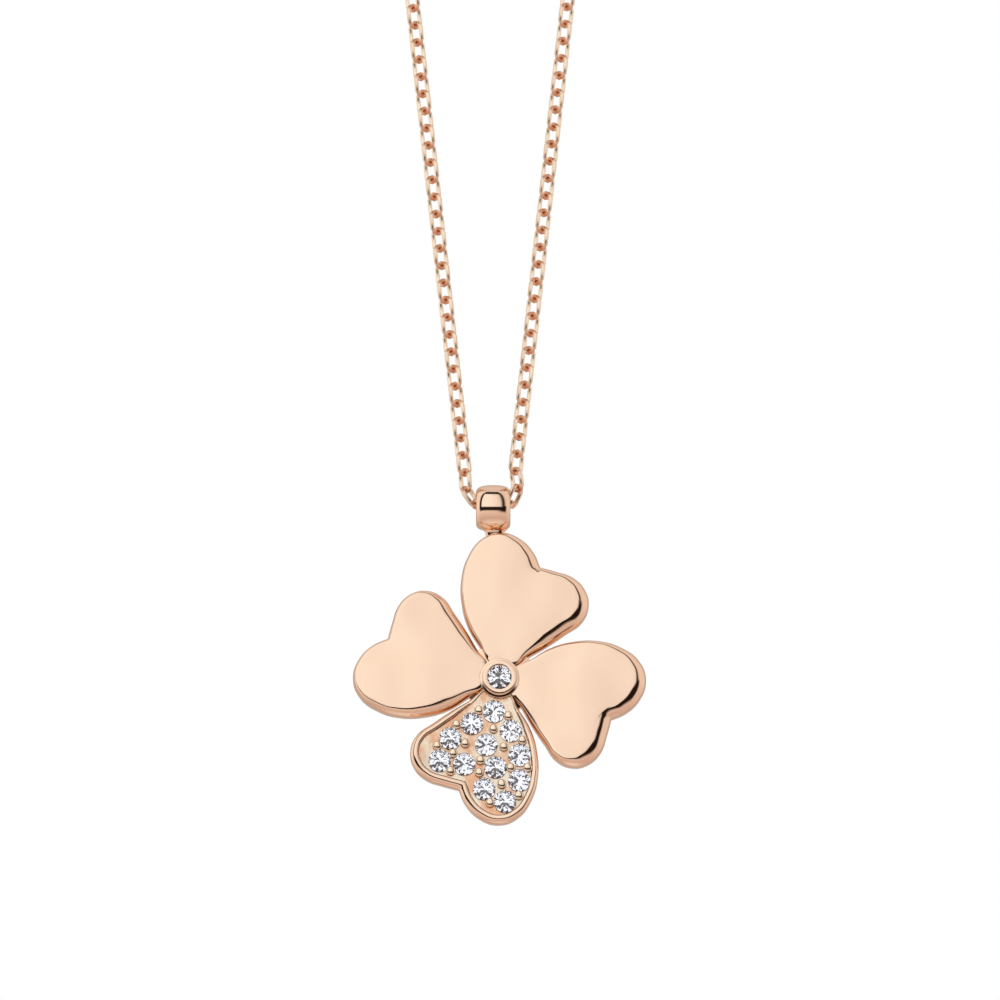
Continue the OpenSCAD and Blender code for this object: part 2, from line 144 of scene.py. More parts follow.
def gold_finish(
    name, rough_low, rough_high, hairlines_felt, tints=(GOLD_TINT, GOLD_DEEP), cloud_scale=420, cloud_edge=0.5
):
    """Metal with two cloudy tints, hairlines that change roughness and relief, and slow waves."""
    finish, nodes, links, surface = new_finish(name)
    surface.inputs["Metallic"].default_value = 1.0
    place = nodes.new("ShaderNodeTexCoord")
    clouds = nodes.new("ShaderNodeTexNoise")
    clouds.inputs["Scale"].default_value = cloud_scale
    clouds.inputs["Detail"].default_value = 3
    links.new(place.outputs["Object"], clouds.inputs["Vector"])
    tint = nodes.new("ShaderNodeMix")
    tint.data_type = "RGBA"
    tint.inputs[6].default_value, tint.inputs[7].default_value = tints
    cloud_share = nodes.new("ShaderNodeMapRange")
    cloud_share.inputs["From Min"].default_value = 0.5 - cloud_edge
    cloud_share.inputs["From Max"].default_value = 0.5 + cloud_edge
    links.new(clouds.outputs["Fac"], cloud_share.inputs["Value"])
    links.new(cloud_share.outputs["Result"], tint.inputs["Factor"])
    links.new(tint.outputs[2], surface.inputs["Base Color"])
    stretch = nodes.new("ShaderNodeMapping")
    stretch.inputs["Rotation"].default_value = (0, HAIRLINE_SLANT, 0)
    stretch.inputs["Scale"].default_value = HAIRLINE_SCALE
    links.new(place.outputs["Object"], stretch.inputs["Vector"])
    hairlines = nodes.new("ShaderNodeTexNoise")
    hairlines.inputs["Scale"].default_value = 1
    hairlines.inputs["Detail"].default_value = 2
    links.new(stretch.outputs["Vector"], hairlines.inputs["Vector"])
    polish = nodes.new("ShaderNodeMapRange")
    polish.inputs["To Min"].default_value = rough_low
    polish.inputs["To Max"].default_value = rough_high
    links.new(hairlines.outputs["Fac"], polish.inputs["Value"])
    links.new(polish.outputs["Result"], surface.inputs["Roughness"])
    waves = nodes.new("ShaderNodeTexNoise")
    waves.inputs["Scale"].default_value = WAVE_SCALE
    waves.inputs["Detail"].default_value = 0
    links.new(place.outputs["Object"], waves.inputs["Vector"])
    wave_bump = nodes.new("ShaderNodeBump")
    wave_bump.inputs["Strength"].default_value = WAVE_STRENGTH
    wave_bump.inputs["Distance"].default_value = WAVE_DEPTH
    links.new(waves.outputs["Fac"], wave_bump.inputs["Height"])
    bump = nodes.new("ShaderNodeBump")
    bump.inputs["Strength"].default_value = hairlines_felt
    bump.inputs["Distance"].default_value = HAIRLINE_DEPTH
    links.new(hairlines.outputs["Fac"], bump.inputs["Height"])
    links.new(wave_bump.outputs["Normal"], bump.inputs["Normal"])
    links.new(bump.outputs["Normal"], surface.inputs["Normal"])
    return finish


# %% [markdown]
# ## Four finishes of one gold
# Only the open faces are polished. The bed under the stones can't be reached by the wheel: it stays rougher,
# and its darker tint is painted shade from the stones, broken by painted patches of light. The grains and the
# chain's wire get a short barrel polish, and their paler tints are painted light. Links mirror each other
# where they hook, which deepens the colour twice over; a thin wire in a sampled render hardly shows that, so
# an attribute on the link mixes a deeper tint in at its ends, as painted shade and reflection.

# %% Four finishes
polished_gold = gold_finish("polished rose gold", 0.04, 0.12, 0.03)
# Painted shade and light: the recess's darker tint stands for the stones' shade, its pale patches for caught
# light
recess_gold_painted_shade = gold_finish(
    "rose gold in the recess", 0.16, 0.3, 0.4, ((1.0, 0.86, 0.68, 1), (0.9, 0.52, 0.32, 1)), 900, 0.09
)
# Painted light: the grains' paler tints stand for the light they catch
grain_gold_painted_light = gold_finish("rose gold grains", 0.12, 0.2, 0.1, ((1.0, 0.84, 0.66, 1), (1.0, 0.78, 0.58, 1)))
# Painted light: the wire's paler tints stand for the light it catches
wire_gold_painted_light = gold_finish("drawn rose gold wire", 0.24, 0.34, 0.05, ((1.0, 0.9, 0.74, 1), (1.0, 0.83, 0.65, 1)))
# Painted shade and reflection: a deeper tint mixed in at each link's ends where it hooks
JOINT_PAINTED_SHADE = (0.85, 0.5, 0.33, 1)
wire_nodes, wire_links = wire_gold_painted_light.node_tree.nodes, wire_gold_painted_light.node_tree.links
wire_colour = wire_nodes["Principled BSDF"].inputs["Base Color"]
joint_shade = wire_nodes.new("ShaderNodeAttribute")
joint_shade.attribute_name = "joint_shade"
joint_shade_mix = wire_nodes.new("ShaderNodeMix")
joint_shade_mix.data_type = "RGBA"
joint_shade_mix.inputs[7].default_value = JOINT_PAINTED_SHADE
wire_links.new(joint_shade.outputs["Fac"], joint_shade_mix.inputs["Factor"])
wire_links.new(wire_colour.links[0].from_socket, joint_shade_mix.inputs[6])
wire_links.new(joint_shade_mix.outputs[2], wire_colour)
for finish in (polished_gold, recess_gold_painted_shade, grain_gold_painted_light, wire_gold_painted_light):
    print("finish:", finish.name)

# %% [markdown]
# ## The line of a heart
# The heart is drawn as a designer draws it: a few chosen points and a soft curve through them. The points
# are shares of the leaf's span, the same as in the CAD source. A Bezier curve with automatic handles
# passes through all of them, and because it starts and ends at the notch, the notch stays a crisp corner.

# %% Heart line
HEART_OUT = [
    (0.725, -0.322), (0.838, -0.272), (0.948, -0.166), (1.0, -0.012), (0.946, 0.144), (0.8, 0.254),
    (0.622, 0.304), (0.433, 0.299), (0.254, 0.25), (0.089, 0.152),
]
HEART_BACK = [
    (0.018, -0.237), (0.1, -0.378), (0.196, -0.521), (0.29, -0.65), (0.414, -0.704), (0.538, -0.68),
    (0.64, -0.586), (0.694, -0.438), (0.725, -0.322),
]
ROOT_TURNS = (28, -10, -48)
ROOT_RADIUS = 1.13
LINE_STEPS = 9


def leaf_place(share):
    """A place on a leaf, in millimetres from the bezel's middle."""
    return Vector((COLLAR_RADIUS + share[0] * LEAF_SPAN, share[1] * LEAF_SPAN))


def soft_line(points, steps):
    """Points along a Bezier curve that runs through the chosen ones."""
    curve = bpy.data.curves.new("soft line", "CURVE")
    curve.dimensions = "3D"
    curve.resolution_u = steps
    spline = curve.splines.new("BEZIER")
    spline.bezier_points.add(len(points) - 1)
    for knot, point in zip(spline.bezier_points, points):
        knot.co = (point[0], 0, point[1])
        knot.handle_left_type = knot.handle_right_type = "AUTO"
    holder = bpy.data.objects.new("soft line", curve)
    line = bpy.data.meshes.new_from_object(holder)
    found = [Vector((v.co.x, v.co.z)) for v in line.vertices]
    bpy.data.objects.remove(holder)
    bpy.data.curves.remove(curve)
    bpy.data.meshes.remove(line)
    return found


root_points = [
    ROOT_RADIUS * Vector((math.cos(math.radians(turn)), math.sin(math.radians(turn)))) for turn in ROOT_TURNS
]
chosen = [leaf_place(p) for p in HEART_OUT] + root_points + [leaf_place(p) for p in HEART_BACK]
HEART = soft_line(chosen, LINE_STEPS)[:-1]
print("heart line:", len(HEART), "points from", len(chosen), "chosen ones")

# %% [markdown]
# ## Rings that step inwards
# A heart is built like a stack of rings: the line is extruded again and again, and each new ring moves a
# little inwards and forwards. That way the rolled edge can fade out where the leaf runs into the bezel,
# which the inset operator can't do. Each vertex carries its number along the line, so a new ring always
# knows where its vertices belong.

# %% Ring helpers
ROLL_FADE = 0.34 * LEAF_SPAN
ROLL_AT_ROOT = 0.12
# Above 1 the width of the roll swings over faster from its wide side to its narrow side
SIDE_POWER = 1.3


def steps_inward(line):
    """Mitred inward step at each point of a closed line that runs anticlockwise."""
    found = []
    for i, point in enumerate(line):
        before = (point - line[i - 1]).normalized()
        after = (line[(i + 1) % len(line)] - point).normalized()
        a, b = Vector((-before.y, before.x)), Vector((-after.y, after.x))
        found.append((a + b) / (1 + a.dot(b)))
    return found


def roll_share(point):
    """Share of the full roll at a point: little at the bezel, all of it further out."""
    t = min(1, max(0, (point.length - ROOT_RADIUS) / ROLL_FADE))
    return ROLL_AT_ROOT + (1 - ROLL_AT_ROOT) * t


HEART_STEPS = steps_inward(HEART)
HEART_FADE = [roll_share(point) for point in HEART]


def side_widths(turn, wide_side, narrow, wide):
    """Width of the rolled edge at each point of a heart that is turned by so much in the front view."""
    found = []
    for step in HEART_STEPS:
        faces = math.atan2(-step.y, -step.x) + math.radians(turn - wide_side)
        found.append(narrow + (wide - narrow) * ((1 + math.cos(faces)) / 2) ** SIDE_POWER)
    return found


def inset_line(width, more=0):
    """The heart line moved inwards by one width, or by one for each point, and by some more."""
    widths = width if isinstance(width, list) else [width] * len(HEART)
    rows = zip(HEART, HEART_STEPS, HEART_FADE, widths)
    return [point + step * fade * (own + more) for point, step, fade, own in rows]


def first_ring(bm, line, depth):
    """A closed ring of vertices and edges, with each vertex's number kept on it."""
    number = bm.verts.layers.int.new("number")
    verts = [bm.verts.new((p.x, depth, p.y)) for p in line]
    for i, vert in enumerate(verts):
        vert[number] = i
    return [bm.edges.new(pair) for pair in zip(verts, verts[1:] + verts[:1])]


def next_ring(bm, edges, line, depth):
    """Extrudes a ring and moves it to a new line and depth."""
    number = bm.verts.layers.int["number"]
    made = bmesh.ops.extrude_edge_only(bm, edges=edges)["geom"]
    verts = {item for item in made if isinstance(item, bmesh.types.BMVert)}
    for vert in verts:
        p = line[vert[number]]
        vert.co = (p.x, depth, p.y)
    return [item for item in made if isinstance(item, bmesh.types.BMEdge) and set(item.verts) <= verts]


# %% [markdown]
# ## The polished hearts
# Seen from the front the edge of a heart is a quarter round. It is widest where the heart faces down to
# the right and hardly there on the upper left, as if each petal were bent back a little. It starts a few
# degrees off the face, so the dark surroundings draw one thin line there, as in the photograph. The face
# itself rises very gently to its middle. Towards the middle the rings are smoothed along their length, or
# the notch would leave a crease across the mirror.

# %% Polished heart
ROLL_WIDTH = 0.82
ROLL_NARROW = 0.2 * ROLL_WIDTH
ROLL_WIDE_SIDE = -30
ROLL_START = 4
ROLL_TURNS = (90, 80, 70, 60, 50, 41, 33, 26, 20, 15, 11, 7.5, 5, ROLL_START)
ROLL_DEPTH = 0.74
BACK_ROUND = 0.2
FACE_RISE = 0.05
FACE_SHARES = (0.95, 0.88, 0.8, 0.71, 0.61, 0.5, 0.38, 0.26, 0.13)
FACE_MIDDLE = leaf_place((0.48, -0.142))


def back_rings(bm):
    """Flat back with a small rounding, up to where the side stands straight."""
    ring = first_ring(bm, inset_line(BACK_ROUND), BACK)
    bmesh.ops.contextual_create(bm, geom=ring)
    for turn in (30, 60, 90):
        s, c = math.sin(math.radians(turn)), math.cos(math.radians(turn))
        ring = next_ring(bm, ring, inset_line(BACK_ROUND * (1 - s)), BACK - BACK_ROUND * (1 - c))
    return ring


def round_over(bm, ring, widths, depth, turns):
    """Rolls the side over to the front in a quarter round that is cut short before it lies flat."""
    last = math.radians(turns[-1])
    for turn in turns:
        s, c = math.sin(math.radians(turn)), math.cos(math.radians(turn))
        inward = (1 - s) / (1 - math.sin(last))
        down = depth * (1 - c / math.cos(last))
        ring = next_ring(bm, ring, inset_line([w * inward for w in widths]), FRONT + down)
    return ring


def smooth_along(line, passes):
    """Evens out a closed line, each point drawn to the middle of its neighbours."""
    for _ in range(passes):
        line = [(line[i - 1] + 2 * p + line[(i + 1) % len(line)]) / 4 for i, p in enumerate(line)]
    return line


def polished_heart(name, turn, reach):
    bm = bmesh.new()
    widths = side_widths(turn, ROLL_WIDE_SIDE, ROLL_NARROW, ROLL_WIDTH)
    ring = round_over(bm, back_rings(bm), widths, ROLL_DEPTH, ROLL_TURNS)
    edge_line = inset_line(widths)
    for i, share in enumerate(FACE_SHARES):
        line = smooth_along(edge_line, 10 * (i + 1) ** 2)
        line = [FACE_MIDDLE + (p - FACE_MIDDLE) * share for p in line]
        ring = next_ring(bm, ring, line, FRONT - FACE_RISE * (1 - share * share))
    next_ring(bm, ring, [FACE_MIDDLE] * len(HEART), FRONT - FACE_RISE)
    bmesh.ops.scale(bm, vec=(reach, 1, 1), verts=bm.verts)
    place_leaf(bm, turn)
    return make_piece(bm, name, "pendant", ["clover"], [polished_gold])


def place_leaf(bm, turn):
    """Turns a leaf that points right and moves it to the bezel."""
    turned = Matrix.Translation(BEZEL) @ Matrix.Rotation(math.radians(-turn), 4, "Y")
    bmesh.ops.transform(bm, matrix=turned, verts=bm.verts)


for heart_name, heart_turn, reach in (("heart_right", 0, 1), ("heart_top", 90, 1.01), ("heart_left", 180, 1)):
    polished_heart(heart_name, heart_turn, reach)

# %% [markdown]
# ## The stone set heart
# This heart has a narrow raised border round a sunk bed. The bed is drilled for each stone: a cone for
# its pavilion and an open hole behind it, which lets light in and dirt out. Drilling is what a Boolean
# modifier does, so one cutter is spun from half a section and repeated at every stone.

# %% Cutters for the stone seats
SET_TURN = -90
BED_DEPTH = 0.35
STONE_GAP = 0.12
STONE_D = LEAF_SPAN * 0.192 - STONE_GAP
STONE_SINK = 0.12
PAVILION_SHARE = 0.43
SEAT_HOLE = 0.26
SEAT_ROOM = 0.11
# How far the cutters stand out over the bed and behind the back
OVER_BED = 0.17
PAST_BACK = 1
SPIN_STEPS = 32


def spun(bm, rows, axis, middle, steps):
    """Spins a row of (radius, place along the axis) round the axis through the middle."""
    along = Vector(axis)
    out = Vector((1, 0, 0)) if abs(along.x) < 0.5 else Vector((0, 0, 1))
    verts = [bm.verts.new(middle + out * r + along * h) for r, h in rows]
    edges = [bm.edges.new(pair) for pair in zip(verts, verts[1:])]
    bmesh.ops.spin(
        bm, geom=verts + edges, cent=middle, axis=along, angle=math.tau, steps=steps, use_merge=True
    )


def add_to(bm, extra, place):
    """Moves a second bmesh to its place and joins it to the first."""
    bmesh.ops.transform(extra, matrix=place, verts=extra.verts)
    mesh = bpy.data.meshes.new("extra")
    extra.to_mesh(mesh)
    extra.free()
    bm.from_mesh(mesh)
    bpy.data.meshes.remove(mesh)


def seat_cutters():
    """One object with a cone and a hole behind it at every stone of the bed."""
    slope = 0.5 / PAVILION_SHARE
    top = STONE_D / 2 - (BED_DEPTH - STONE_SINK) * slope + SEAT_ROOM
    cone = (top - SEAT_HOLE) / slope
    bed = FRONT + BED_DEPTH
    rows = [(0, bed - OVER_BED), (top + OVER_BED * slope, bed - OVER_BED), (SEAT_HOLE, bed + cone),
            (SEAT_HOLE, BACK + PAST_BACK), (0, BACK + PAST_BACK)]
    bm = bmesh.new()
    for node in STONE_NODES:
        stone = middle_of(node)
        spun(bm, rows, (0, 1, 0), Vector((stone.x, 0, stone.z)), SPIN_STEPS)
    bmesh.ops.remove_doubles(bm, verts=bm.verts, dist=1e-5)
    bmesh.ops.recalc_face_normals(bm, faces=bm.faces)
    mesh = bpy.data.meshes.new("seat cutters")
    bm.to_mesh(mesh)
    bm.free()
    return bpy.data.objects.new("seat cutters", mesh)


# %% Stone set heart
BORDER_FLAT = 0.17
BORDER_ROLL = (0.18, 0.38)
BORDER_WIDE_SIDE = -120
BORDER_DEPTH = 0.4
BORDER_TURNS = (90, 76, 62, 50, 38, 28, 19, 11, 5)
# Recess finish with its painted shade: on faces that look to the front and lie this deep or deeper
RECESS_DEPTH = 0.2
RECESS_FACING = -0.35
# Inner lip and wall of the border: further in by so much, and so deep
BORDER_WALL = ((0.0, 0.0), (0.03, 0.012), (0.05, 0.04), (0.08, BED_DEPTH - 0.03), (0.11, BED_DEPTH))


def drilled(mesh_object, cutter):
    """The object's mesh with the cutter taken out of it."""
    for thing in (mesh_object, cutter):
        bpy.context.scene.collection.objects.link(thing)
    cut = mesh_object.modifiers.new("seats", "BOOLEAN")
    cut.operation, cut.solver, cut.object = "DIFFERENCE", "EXACT", cutter
    bpy.context.view_layer.update()
    ready = mesh_object.evaluated_get(bpy.context.evaluated_depsgraph_get())
    bm = bmesh.new()
    bm.from_mesh(ready.to_mesh())
    for thing in (mesh_object, cutter):
        bpy.data.objects.remove(thing)
    return bm


def set_heart():
    bm = bmesh.new()
    widths = side_widths(SET_TURN, BORDER_WIDE_SIDE, *BORDER_ROLL)
    ring = round_over(bm, back_rings(bm), widths, BORDER_DEPTH, BORDER_TURNS)
    for more, depth in BORDER_WALL:
        ring = next_ring(bm, ring, inset_line(widths, BORDER_FLAT + more), FRONT + depth)
    bmesh.ops.contextual_create(bm, geom=ring)
    place_leaf(bm, SET_TURN)
    bmesh.ops.remove_doubles(bm, verts=bm.verts, dist=1e-5)
    bmesh.ops.recalc_face_normals(bm, faces=bm.faces)
    blank = bpy.data.meshes.new("heart blank")
    bm.to_mesh(blank)
    bm.free()
    cut = drilled(bpy.data.objects.new("heart blank", blank), seat_cutters())
    for face in cut.faces:
        deep = face.calc_center_median().y > FRONT + RECESS_DEPTH
        face.material_index = int(deep and face.normal.y < RECESS_FACING)
    return make_piece(cut, "heart_set", "pendant", ["clover"], [polished_gold, recess_gold_painted_shade])


set_heart()

# %% [markdown]
# ## Grains
# A setter raises little beads of metal with a graver and pushes them over the stones' edges. Between three
# stones a bead holds all of them, and along the border a bead holds two. Each is a spun post whose head
# spreads past its foot. Their places follow from the stones.

# %% Grain places
INNER_GRAINS = [
    (0, 2, 4), (1, 4, 7), (3, 6, 7), (2, 4, 5), (4, 7, 8), (5, 8, 9), (8, 9, 10), (9, 10, 11), (7, 8, 10),
]
BORDER_GRAINS = [(1, 0), (3, 1), (6, 3), (7, 6), (11, 10), (9, 11), (5, 9), (2, 5), (0, 2)]
GRAIN_RADIUS = 0.19
GRAIN_ROOM = 0.07


def flat_place(node):
    stone = middle_of(node)
    return Vector((stone.x, stone.z))


STONES = [flat_place(node) for node in STONE_NODES]


def between(a, b, c):
    """Point at one distance from three stones."""
    d = 2 * (a.x * (b.y - c.y) + b.x * (c.y - a.y) + c.x * (a.y - b.y))
    x = (a.dot(a) * (b.y - c.y) + b.dot(b) * (c.y - a.y) + c.dot(c) * (a.y - b.y)) / d
    y = (a.dot(a) * (c.x - b.x) + b.dot(b) * (a.x - c.x) + c.dot(c) * (b.x - a.x)) / d
    return Vector((x, y))


def beside(a, b):
    """Point that touches two stones on the left of the way from the first to the second."""
    reach = STONE_D / 2 + GRAIN_RADIUS + GRAIN_ROOM
    half = (b - a).length / 2
    way = (b - a).normalized()
    return (a + b) / 2 + Vector((-way.y, way.x)) * math.sqrt(max(0.01, reach**2 - half**2))


grain_places = [between(*(STONES[i] for i in group)) for group in INNER_GRAINS]
grain_places += [beside(STONES[a], STONES[b]) for a, b in BORDER_GRAINS]
print("grains:", len(grain_places))

# %% Grains
GRAIN_STEPS = 16
GRAIN_HEAD = GRAIN_RADIUS + 0.11
grain_top = FRONT - 0.1
grain_foot = FRONT + BED_DEPTH + 0.1
grain_rows = [
    (0, grain_foot), (0.17, grain_foot), (GRAIN_RADIUS, FRONT + 0.15),
    (GRAIN_RADIUS, grain_top + 0.17), (GRAIN_HEAD, grain_top + 0.12), (GRAIN_HEAD, grain_top + 0.09),
    (GRAIN_HEAD * 0.93, grain_top + 0.055), (GRAIN_HEAD * 0.78, grain_top + 0.028),
    (GRAIN_HEAD * 0.5, grain_top + 0.01), (0, grain_top),
]
bm = bmesh.new()
for p in grain_places:
    spun(bm, grain_rows, (0, 1, 0), Vector((p.x, 0, p.y)), GRAIN_STEPS)
make_piece(bm, "grains", "pendant", ["clover"], [grain_gold_painted_light], crisp=60)

# %% [markdown]
# ## Bezel
# The bezel is turned on a lathe: a collar, a step and a thin wall whose rim is pushed over the stone. A
# spin is Blender's lathe. The sharp turns of the section are then bevelled, because a polished edge is
# never a knife edge. The hub behind the leaves is drilled like the bed, where a stone seat reaches it.
# Radii are measured from the bezel's middle and heights from the front of the leaves.

# %% Bezel
STONE_R = 0.86
CROWN_SHARE = 0.15
TABLE_SHARE = 0.56
SEAT_CLEAR = 0.07
RIM_LAP = 0.06
TABLE_UNDER_RIM = 0.04
GROOVE = STONE_R + SEAT_CLEAR
RIM = GROOVE + 0.2
HUB = COLLAR_RADIUS + 1.05
HUB_BACK = -LEAF_THICKNESS * 0.91
HUB_FRONT = -LEAF_THICKNESS * 0.3
RIM_UP = 0.56
COLLAR_UP = 0.14
BEZEL_EDGE = 0.03
TURNED_STEPS = 96
girdle_up = RIM_UP - CROWN_SHARE * 2 * STONE_R - TABLE_UNDER_RIM
lip_under = girdle_up + (RIM_LAP + SEAT_CLEAR) * CROWN_SHARE / (1 - TABLE_SHARE) * 2 + SEAT_CLEAR
rim_inner = STONE_R - RIM_LAP
seat_top = girdle_up - SEAT_CLEAR
seat_low = seat_top - (GROOVE - SEAT_HOLE) * PAVILION_SHARE * 2
bezel_rows = [
    (SEAT_HOLE, HUB_BACK), (HUB, HUB_BACK), (HUB, HUB_FRONT), (COLLAR_RADIUS, HUB_FRONT),
    (COLLAR_RADIUS, COLLAR_UP), (RIM, COLLAR_UP), (RIM, RIM_UP), (rim_inner, RIM_UP), (rim_inner, lip_under),
    (GROOVE, lip_under), (GROOVE, seat_top), (SEAT_HOLE, seat_low), (SEAT_HOLE, HUB_BACK),
]


def turned_piece(rows, axis, middle, edge_width):
    """A closed section turned round its axis, its sharp edges broken by a small bevel."""
    bm = bmesh.new()
    spun(bm, rows, axis, middle, TURNED_STEPS)
    bmesh.ops.remove_doubles(bm, verts=bm.verts, dist=1e-5)
    bmesh.ops.recalc_face_normals(bm, faces=bm.faces)
    sharp = [e for e in bm.edges if len(e.link_faces) == 2 and e.calc_face_angle(0) > math.radians(50)]
    bmesh.ops.bevel(
        bm, geom=sharp, offset=edge_width, affect="EDGES", segments=3, profile=0.5, material=-1,
        clamp_overlap=True,
    )
    return bm


bm = turned_piece([(r, FRONT - h) for r, h in bezel_rows], (0, 1, 0), BEZEL, BEZEL_EDGE)
bezel_blank = bpy.data.meshes.new("bezel blank")
bm.to_mesh(bezel_blank)
bm.free()
bm = drilled(bpy.data.objects.new("bezel blank", bezel_blank), seat_cutters())
make_piece(bm, "bezel", "pendant", ["clover"], [polished_gold], turned=True)

# %% [markdown]
# ## Barrel bail
# The bail is a short fat barrel with the chain running through it. Its wall swells in the middle, thins
# towards both mouths and flares there, so that the links never scrape on an edge. It is turned like the
# bezel. A short flat neck of solder joins it to the tip of the top heart, a little beside the middle, as
# solder runs: it is spun with a fillet at its top and then pressed flat.

# %% Bail and neck
BAIL_HALF = 1.15
BAIL_RADIUS = 1.55
MOUTH_RADIUS = 1.06
BORE_RADIUS = 0.86
# The chain carries the bail by the top of its bore
BAIL = PIVOT + Vector((0, 0, -0.31))
BAIL_STEPS = 12
BAIL_EDGE = 0.045
FULLNESS = 2.5
FLARE_SHARE = 0.35
BORE_STRAIGHT = 0.7
NECK_FLAT = 0.4
NECK_X = 0.1


def barrel_radius(x):
    """Radius of the barrel at a share of its half length; its outline is a little squarer than an ellipse."""
    return MOUTH_RADIUS + (BAIL_RADIUS - MOUTH_RADIUS) * (1 - abs(x) ** FULLNESS) ** (1 / FULLNESS)


shares = [math.sin(math.radians(90 * i / BAIL_STEPS)) for i in range(-BAIL_STEPS, BAIL_STEPS + 1)]
barrel = [(barrel_radius(x), BAIL_HALF * x) for x in shares]
flared = BORE_RADIUS + (MOUTH_RADIUS - BORE_RADIUS) * FLARE_SHARE
bail_rows = [(flared, -BAIL_HALF), *barrel, (flared, BAIL_HALF), (BORE_RADIUS, BAIL_HALF * BORE_STRAIGHT),
             (BORE_RADIUS, -BAIL_HALF * BORE_STRAIGHT), (flared, -BAIL_HALF)]
bm = turned_piece(bail_rows, (1, 0, 0), BAIL, BAIL_EDGE)
# Radius of the neck by its height from the middle of the bail
neck_rows = [
    (1.0, -1.2), (0.86, -1.42), (0.74, -1.53), (0.65, -1.62), (0.63, -1.68), (0.63, -1.78), (0.52, -1.9),
    (0.4, -2.2), (0, -2.3),
]
neck = bmesh.new()
spun(neck, neck_rows, (0, 0, 1), Vector((0, 0, 0)), 48)
bmesh.ops.scale(neck, vec=(1, NECK_FLAT, 1), verts=neck.verts)
add_to(bm, neck, Matrix.Translation(BAIL + Vector((NECK_X, 0, 0))))
make_piece(bm, "bail", "pendant", ["clover"], [polished_gold])

# %% [markdown]
# ## Cut stones
# A stone is ground, not moulded: the cutter starts from a round blank and lays on one flat facet after
# another. The script does the same. It starts from a cylinder and each facet is one bisect_plane cut that
# throws away what lies outside, then closes the wound. Table, mains, stars and girdle facets make the round
# brilliant; the shares of its proportions are those of the CAD stones. It lies on its side: its table
# faces the front, which is -Y.

# %% Cut one stone
GIRDLE_SHARE = 0.025
BLANK_SIDES = 64
# Slopes beside those of the main facets: degrees more for the girdle halves, a share for the stars
UPPER_HALVES_STEEPER = 7
LOWER_HALVES_STEEPER = 1.5
STAR_SLOPE_SHARE = 0.6


def cut_facet(bm, point, normal):
    """Cuts away everything past a plane and closes the cut with one face."""
    geom = bm.verts[:] + bm.edges[:] + bm.faces[:]
    made = bmesh.ops.bisect_plane(
        bm, geom=geom, dist=1e-6, plane_co=point, plane_no=normal, clear_outer=True
    )
    rim = [item for item in made["geom_cut"] if isinstance(item, bmesh.types.BMEdge)]
    if len(rim) > 2:
        bmesh.ops.contextual_create(bm, geom=rim)


def facet_row(bm, count, turn, radius, height, slope):
    """A row of facets round the stone, through the given radius and height, at that slope."""
    tilt = math.radians(slope)
    outward = -math.cos(tilt) if height <= 0 else math.cos(tilt)
    for i in range(count):
        a = math.tau * (i + turn) / count
        out = Vector((math.cos(a), 0, math.sin(a)))
        cut_facet(bm, out * radius + Vector((0, height, 0)), out * math.sin(tilt) + Vector((0, outward, 0)))


def brilliant(diameter):
    r = diameter / 2
    g = diameter * GIRDLE_SHARE / 2
    crown = diameter * CROWN_SHARE
    pavilion = diameter * PAVILION_SHARE
    table = r * TABLE_SHARE
    bm = bmesh.new()
    blank = bmesh.ops.create_cone(
        bm, cap_ends=True, segments=BLANK_SIDES, radius1=r, radius2=r, depth=crown + pavilion
    )
    lie = Matrix.Translation((0, (pavilion - crown) / 2, 0)) @ Matrix.Rotation(math.radians(90), 4, "X")
    bmesh.ops.transform(bm, matrix=lie, verts=blank["verts"])
    main_slope = math.degrees(math.atan2(crown - g, r - table * math.cos(math.pi / 8)))
    low_slope = math.degrees(math.atan2(pavilion - g, r))
    halves_reach = r * math.cos(math.pi / 16)
    facet_row(bm, 16, 0.5, halves_reach, -g, main_slope + UPPER_HALVES_STEEPER)
    facet_row(bm, 8, 0, r, -g, main_slope)
    facet_row(bm, 8, 0.5, table * math.cos(math.pi / 8), -crown, main_slope * STAR_SLOPE_SHARE)
    facet_row(bm, 16, 0.5, halves_reach, g, low_slope + LOWER_HALVES_STEEPER)
    facet_row(bm, 8, 0, r, g, low_slope)
    return bm


# %% [markdown]
# ## Stone material
# A white stone bends light strongly and swallows none. Principled glass with a high index does that: the
# back facets mirror the surroundings through the front ones, which gives the small black and white
# splinters of the photograph. A faint grey cloud per stone keeps thirteen stones from looking copied.

# %% Gemstone finish
STONE_WHITE = (1, 1, 1, 1)
STONE_COOL = (0.93, 0.95, 1.0, 1)
gemstone, gem_nodes, gem_links, gem_surface = new_finish("white cut stone")
gem_surface.inputs["Transmission Weight"].default_value = 1.0
gem_surface.inputs["IOR"].default_value = 2.2
gem_surface.inputs["Roughness"].default_value = 0.0
gem_place = gem_nodes.new("ShaderNodeTexCoord")
gem_cloud = gem_nodes.new("ShaderNodeTexNoise")
gem_cloud.inputs["Scale"].default_value = 900
gem_links.new(gem_place.outputs["Object"], gem_cloud.inputs["Vector"])
gem_tint = gem_nodes.new("ShaderNodeMix")
gem_tint.data_type = "RGBA"
gem_tint.inputs[6].default_value = STONE_WHITE
gem_tint.inputs[7].default_value = STONE_COOL
gem_links.new(gem_cloud.outputs["Fac"], gem_tint.inputs["Factor"])
gem_links.new(gem_tint.outputs[2], gem_surface.inputs["Base Color"])
print("finish:", gemstone.name)

# %% [markdown]
# ## Setting the stones
# A setter never lines the facets up, so each small stone is turned by a chance angle, the same in every run
# because the draw has a fixed seed. Its girdle sits a little below the border, where the grains hold it.

# %% Set the stones
random.seed(7)
EIGHTH = 45


